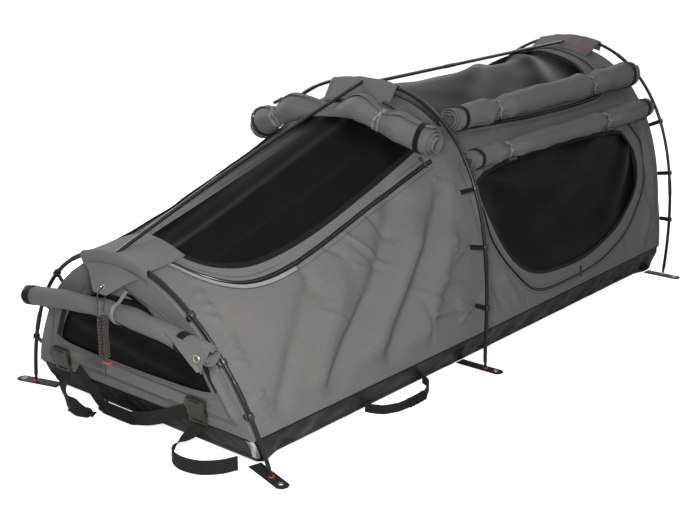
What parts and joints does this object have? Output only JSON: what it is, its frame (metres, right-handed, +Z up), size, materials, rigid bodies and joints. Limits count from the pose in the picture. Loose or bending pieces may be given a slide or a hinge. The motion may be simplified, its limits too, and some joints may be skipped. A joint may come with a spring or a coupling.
{
  "type": "swag bedroll",
  "caption": "Pitched single swag: canvas bedroll on a coated base tub, held up by hoops and ridge poles, with insect mesh openings and rolled covers.",
  "frame": {"origin": "centre of the base's underside, on the ground", "axes": "+Z up, +Y from the foot end to the head end, +X to the side with the open door"},
  "size_m": [1.06, 2.2714, 0.8476],
  "materials": {
    "canvas": "matt ripstop canvas",
    "base_cloth": "satin coated cloth",
    "insect_mesh": "fine matt net",
    "foam": "matt cover over foam",
    "pole": "gloss",
    "moulded_black": "fine satin",
    "webbing": "ribbed matt",
    "guy_cord": "braided matt",
    "runner_red": "satin"
  },
  "bodies": {
    "root": {"near_wall_foot": "canvas", "far_wall_foot": "canvas", "near_wall_head": "canvas", "far_wall_head": "canvas", "foot_end_panel": "canvas", "head_end_panel": "canvas", "foot_sleeve": "canvas", "mid_sleeve": "canvas", "head_sleeve": "canvas", "top_cover_roll": "canvas", "skylight_roll": "canvas", "door_roll": "canvas", "foot_window_roll": "canvas", "base_tub": "base_cloth", "top_mesh": "insect_mesh", "skylight_mesh": "insect_mesh", "door_mesh": "insect_mesh", "foot_window_mesh": "insect_mesh", "mattress": "foam", "foot_hoop": "pole", "mid_hoop": "pole", "head_hoop": "pole", "foot_ridge_pole": "pole", "head_ridge_pole": "pole", "foot_hook_clip_1": "moulded_black", "foot_hook_clip_2": "moulded_black", "foot_hook_clip_3": "moulded_black", "mid_hook_clip_1": "moulded_black", "mid_hook_clip_2": "moulded_black", "mid_hook_clip_3": "moulded_black", "head_hook_clip_1": "moulded_black", "head_hook_clip_2": "moulded_black", "head_hook_clip_3": "moulded_black", "head_hook_clip_4": "moulded_black", "left_buckle_socket": "moulded_black", "right_buckle_socket": "moulded_black", "foot_peg_tab_near": "webbing", "foot_peg_tab_far": "webbing", "mid_peg_tab_near": "webbing", "mid_peg_tab_far": "webbing", "head_peg_tab_near": "webbing", "head_peg_tab_far": "webbing", "foot_roll_strap": "webbing", "left_strap": "webbing", "right_strap": "webbing"},
    "awning": {"foot_awning": "canvas", "guy_hank": "guy_cord"},
    "guy_runner": {"guy_runner": "runner_red"},
    "left_prong": {"left_buckle_prong": "moulded_black"},
    "right_prong": {"right_buckle_prong": "moulded_black"},
    "foot_handle": {"foot_carry_handle": "webbing"},
    "side_handle": {"side_carry_handle": "webbing"},
    "door_slider": {"door_zip_slider": "moulded_black"},
    "top_slider": {"top_zip_slider": "moulded_black"},
    "top_toggle_near": {"top_toggle_near": "moulded_black"},
    "top_toggle_far": {"top_toggle_far": "moulded_black"},
    "skylight_toggle_1": {"skylight_toggle_1": "moulded_black"},
    "skylight_toggle_2": {"skylight_toggle_2": "moulded_black"},
    "door_toggle_1": {"door_toggle_1": "moulded_black"},
    "door_toggle_2": {"door_toggle_2": "moulded_black"}
  },
  "joints": [
    {"name": "awning_lift", "type": "hinge", "parent": "root", "child": "awning", "pos_m": [0, -1.13471, 0.4544], "axis": [-1, 0, 0], "range_deg": [0, 50]},
    {"name": "runner_slide", "type": "slide", "parent": "awning", "child": "guy_runner", "axis": [0.0995, 0, 0.995], "range_m": [-0.015, 0]},
    {"name": "left_buckle_release", "type": "slide", "parent": "root", "child": "left_prong", "axis": [0, 0.126, -0.992], "range_m": [0, 0.032], "deforming": ["left_strap"]},
    {"name": "right_buckle_release", "type": "slide", "parent": "root", "child": "right_prong", "axis": [0, 0.126, -0.992], "range_m": [0, 0.032], "deforming": ["right_strap"]},
    {"name": "foot_handle_lift", "type": "hinge", "parent": "root", "child": "foot_handle", "pos_m": [0, -1.08827, 0.121], "axis": [-1, 0, 0], "range_deg": [0, 90]},
    {"name": "side_handle_lift", "type": "hinge", "parent": "root", "child": "side_handle", "pos_m": [0.3942, -0.5, 0.0263], "axis": [0, -1, 0], "range_deg": [0, 55]},
    {"name": "door_zip_travel", "type": "slide", "parent": "root", "child": "door_slider", "axis": [0.0022, 1, 0.0082], "range_m": [-0.2, 0.12]},
    {"name": "top_zip_travel", "type": "slide", "parent": "root", "child": "top_slider", "axis": [-0.0315, -0.9494, -0.3125], "range_m": [0, 0.15]},
    {"name": "top_toggle_near_turn", "type": "hinge", "parent": "root", "child": "top_toggle_near", "pos_m": [0.18207, -0.28185, 0.75214], "axis": [0.3052, 0.3211, 0.8965], "range_deg": [-60, 60]},
    {"name": "top_toggle_far_turn", "type": "hinge", "parent": "root", "child": "top_toggle_far", "pos_m": [-0.18072, -0.33997, 0.73345], "axis": [-0.3704, 0.3282, 0.869], "range_deg": [-60, 60]},
    {"name": "skylight_toggle_1_turn", "type": "hinge", "parent": "root", "child": "skylight_toggle_1", "pos_m": [0.29702, 0.14245, 0.69379], "axis": [0.9028, -0.0186, -0.4296], "range_deg": [-60, 60]},
    {"name": "skylight_toggle_2_turn", "type": "hinge", "parent": "root", "child": "skylight_toggle_2", "pos_m": [0.29931, 0.72123, 0.70289], "axis": [0.8931, -0.0297, -0.4488], "range_deg": [-60, 60]},
    {"name": "door_toggle_1_turn", "type": "hinge", "parent": "root", "child": "door_toggle_1", "pos_m": [0.36234, 0.09979, 0.58448], "axis": [0.75, -0.0194, -0.6611], "range_deg": [-60, 60]},
    {"name": "door_toggle_2_turn", "type": "hinge", "parent": "root", "child": "door_toggle_2", "pos_m": [0.36505, 0.70738, 0.59084], "axis": [0.7482, -0.0334, -0.6626], "range_deg": [-60, 60]}
  ]
}
